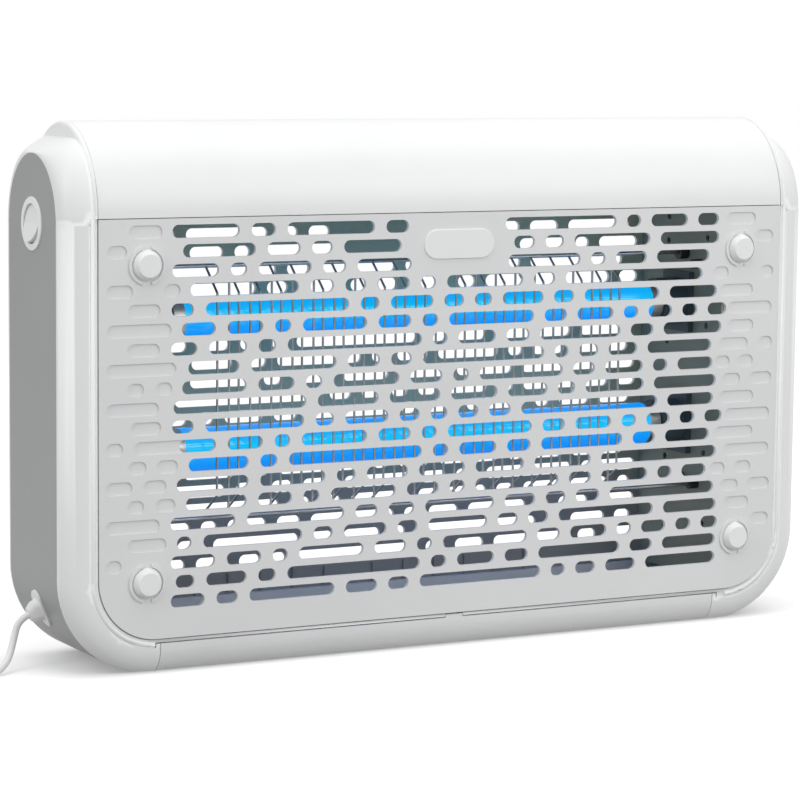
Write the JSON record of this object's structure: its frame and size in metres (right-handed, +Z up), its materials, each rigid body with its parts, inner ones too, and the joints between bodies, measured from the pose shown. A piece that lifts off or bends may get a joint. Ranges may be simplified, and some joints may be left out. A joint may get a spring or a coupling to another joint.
{
  "type": "electric bug zapper",
  "caption": "Upright electric bug zapper: slotted case with two ultraviolet tubes, wire grid, rocker switch and pull-out insect tray.",
  "frame": {"origin": "centre of the case's underside, on the surface it stands on", "axes": "+Z up, the front panel faces -Y, +X to the right as seen from the front"},
  "size_m": [0.5813, 0.1787, 0.308],
  "materials": {
    "white_shell": "smooth white moulded plastic",
    "white_panel": "fine-textured white moulded plastic",
    "grey_band": "mid-grey moulded plastic",
    "white_trim": "white moulded trim",
    "tray_plastic": "white moulded plastic",
    "chamber_steel": "dark painted sheet steel",
    "deck_steel": "zinc-plated sheet steel",
    "grid_wire": "drawn steel wire",
    "post_nylon": "natural nylon",
    "screw_steel": "bright plated steel",
    "bush_black": "black insulating plastic",
    "lamp_glass": "blue ultraviolet lamp glass",
    "lamp_metal": "aluminium lamp caps with pins",
    "holder_plastic": "moulded lampholder",
    "switch_black": "black switch moulding",
    "switch_white": "white switch moulding",
    "cord_white": "white flexible mains lead",
    "plug_white": "white moulded plug",
    "plug_brass": "plated brass blades",
    "ballast_steel": "enclosed ballast can",
    "coil_yellow": "taped transformer winding",
    "board_green": "circuit board",
    "block_white": "terminal block",
    "starter_grey": "aluminium starter can"
  },
  "bodies": {
    "case": {"front_frame": "white_shell", "rear_frame": "white_shell", "hood": "white_shell", "left_side_band": "grey_band", "right_side_band": "grey_band", "front_grille": "white_panel", "rear_grille": "white_panel", "name_pad": "white_trim", "front_screw_caps": "white_trim", "rear_screw_caps": "white_trim", "panel_screws": "screw_steel", "hood_screws": "screw_steel", "panel_posts": "post_nylon", "left_chamber_wall": "chamber_steel", "right_chamber_wall": "chamber_steel", "top_deck": "deck_steel", "live_grid_wires": "grid_wire", "neutral_grid_wires": "grid_wire", "grid_bushes": "bush_black", "switch_bezel": "switch_white", "switch_body": "switch_black", "strain_relief": "plug_white", "cord_lead": "cord_white", "cord_coil": "cord_white", "cord_tail": "cord_white", "plug_body": "plug_white", "plug_pins": "plug_brass", "inner_mains_lead": "cord_white", "left_ballast": "ballast_steel", "right_ballast": "ballast_steel", "hv_transformer": "coil_yellow", "circuit_board": "board_green", "terminal_block": "block_white", "upper_starter": "starter_grey", "lower_starter": "starter_grey", "upper_left_lampholder": "holder_plastic", "upper_right_lampholder": "holder_plastic", "lower_left_lampholder": "holder_plastic", "lower_right_lampholder": "holder_plastic"},
    "insect_tray": {"tray": "tray_plastic"},
    "rocker": {"switch_rocker": "switch_white"},
    "upper_lamp": {"upper_lamp_tube": "lamp_glass", "upper_lamp_caps": "lamp_metal"},
    "lower_lamp": {"lower_lamp_tube": "lamp_glass", "lower_lamp_caps": "lamp_metal"}
  },
  "joints": [
    {"name": "tray_slide", "type": "slide", "parent": "case", "child": "insect_tray", "axis": [0, -1, 0], "range_m": [0, 0.08]},
    {"name": "rocker_hinge", "type": "hinge", "parent": "case", "child": "rocker", "pos_m": [-0.243, 0, 0.2509], "axis": [0, 1, 0], "range_deg": [-20, 0]},
    {"name": "upper_lamp_twist", "type": "hinge", "parent": "case", "child": "upper_lamp", "pos_m": [0, 0, 0.1944], "axis": [1, 0, 0], "range_deg": [0, 90]},
    {"name": "lower_lamp_twist", "type": "hinge", "parent": "case", "child": "lower_lamp", "pos_m": [0, 0, 0.1187], "axis": [1, 0, 0], "range_deg": [0, 90]}
  ]
}
